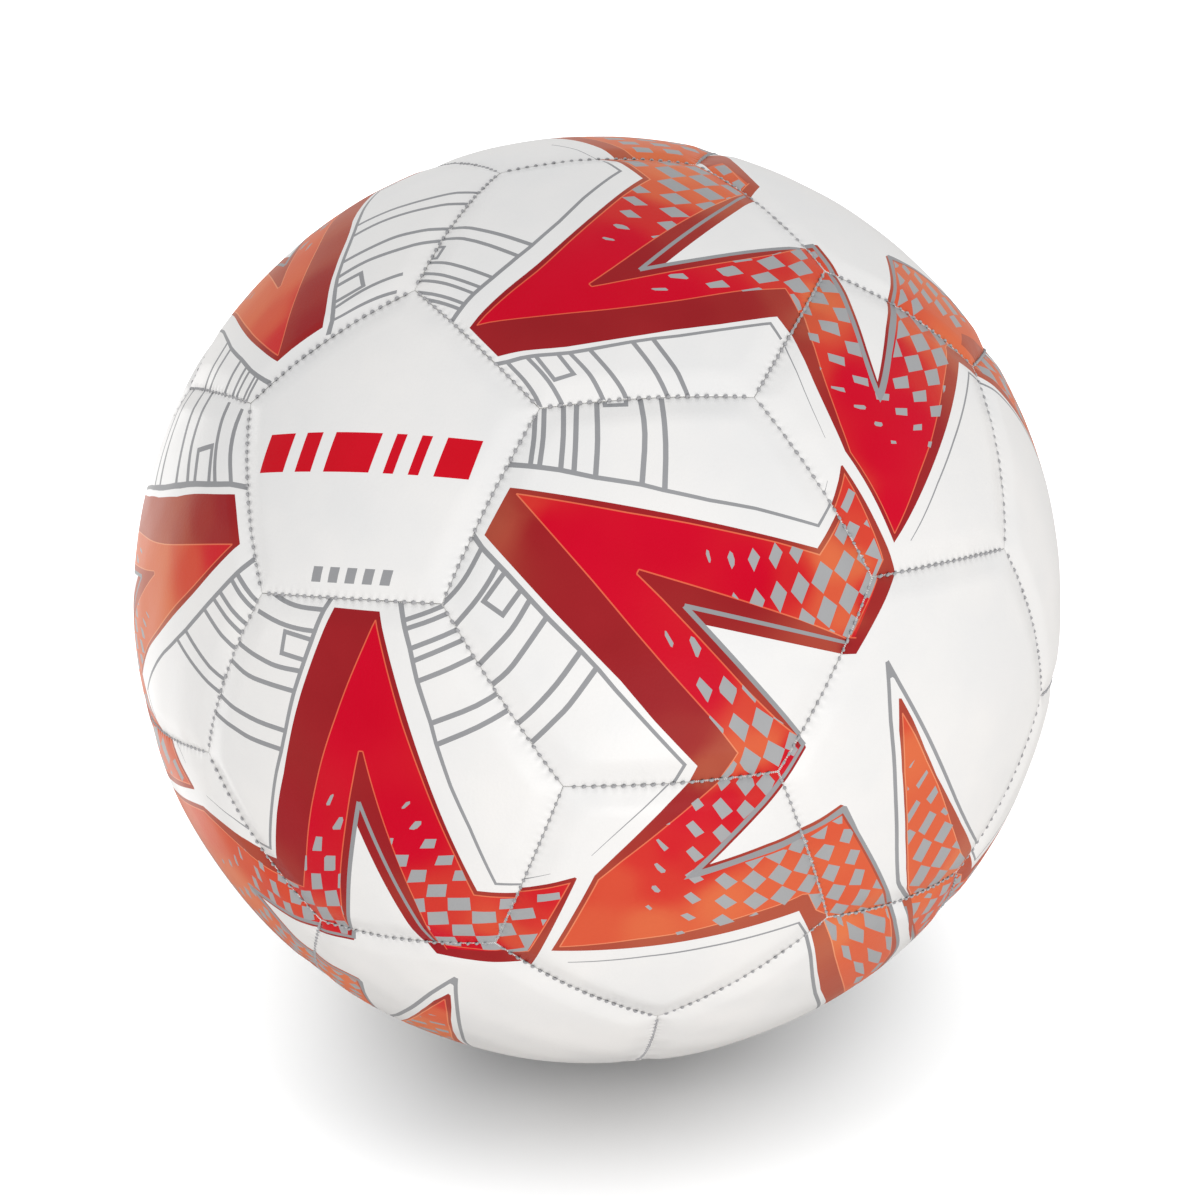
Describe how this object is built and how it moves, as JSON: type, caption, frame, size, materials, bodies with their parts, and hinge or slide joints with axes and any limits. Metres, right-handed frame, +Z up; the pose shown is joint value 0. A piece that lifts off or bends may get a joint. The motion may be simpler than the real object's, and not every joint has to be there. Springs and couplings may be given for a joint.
{
  "type": "soccer ball",
  "caption": "Hand-stitched soccer ball of domed pentagon and hexagon panels over foam, cloth and a rubber bladder, with a pull-out needle valve.",
  "frame": {"origin": "the ball's centre", "axes": "+Z up, with the ball resting on the ground below; -Y towards the viewer; the crest panel faces up, to the left (-X) and forwards (-Y), and the valve is opposite it"},
  "size_m": [0.22, 0.22, 0.22],
  "materials": {
    "cover": "satin synthetic leather, white with a printed red, orange and grey pattern",
    "foam": "closed-cell foam, cream",
    "lining": "woven polycotton lining, unbleached",
    "thread": "waxed twisted polyester thread, grey",
    "bladder_rubber": "butyl rubber, dusted matt black",
    "valve_rubber": "moulded rubber, semi-matt black"
  },
  "bodies": {
    "ball": {"crest_panel": "cover", "valve_panel": "cover", "front_pentagon_panel_1": "cover", "front_pentagon_panel_2": "cover", "front_pentagon_panel_3": "cover", "front_pentagon_panel_4": "cover", "front_pentagon_panel_5": "cover", "rear_pentagon_panel_1": "cover", "rear_pentagon_panel_2": "cover", "rear_pentagon_panel_3": "cover", "rear_pentagon_panel_4": "cover", "rear_pentagon_panel_5": "cover", "crest_hexagon_panel_1": "cover", "crest_hexagon_panel_2": "cover", "crest_hexagon_panel_3": "cover", "crest_hexagon_panel_4": "cover", "crest_hexagon_panel_5": "cover", "front_hexagon_panel_1": "cover", "front_hexagon_panel_2": "cover", "front_hexagon_panel_3": "cover", "front_hexagon_panel_4": "cover", "front_hexagon_panel_5": "cover", "rear_hexagon_panel_1": "cover", "rear_hexagon_panel_2": "cover", "rear_hexagon_panel_3": "cover", "rear_hexagon_panel_4": "cover", "rear_hexagon_panel_5": "cover", "valve_hexagon_panel_1": "cover", "valve_hexagon_panel_2": "cover", "valve_hexagon_panel_3": "cover", "valve_hexagon_panel_4": "cover", "valve_hexagon_panel_5": "cover", "pentagon_foam_pads": "foam", "hexagon_foam_pads": "foam", "pentagon_cloth_linings": "lining", "hexagon_cloth_linings": "lining", "seam_thread": "thread", "bladder": "bladder_rubber", "valve_housing": "valve_rubber", "valve_hole_ring": "lining", "valve_inner_patch": "bladder_rubber", "balance_patch": "bladder_rubber"},
    "valve_core": {"valve_insert": "valve_rubber"}
  },
  "joints": [
    {"name": "valve_insert_pull", "type": "slide", "parent": "ball", "child": "valve_core", "axis": [0.4396, 0.5709, -0.6934], "range_m": [0, 0.025]}
  ]
}
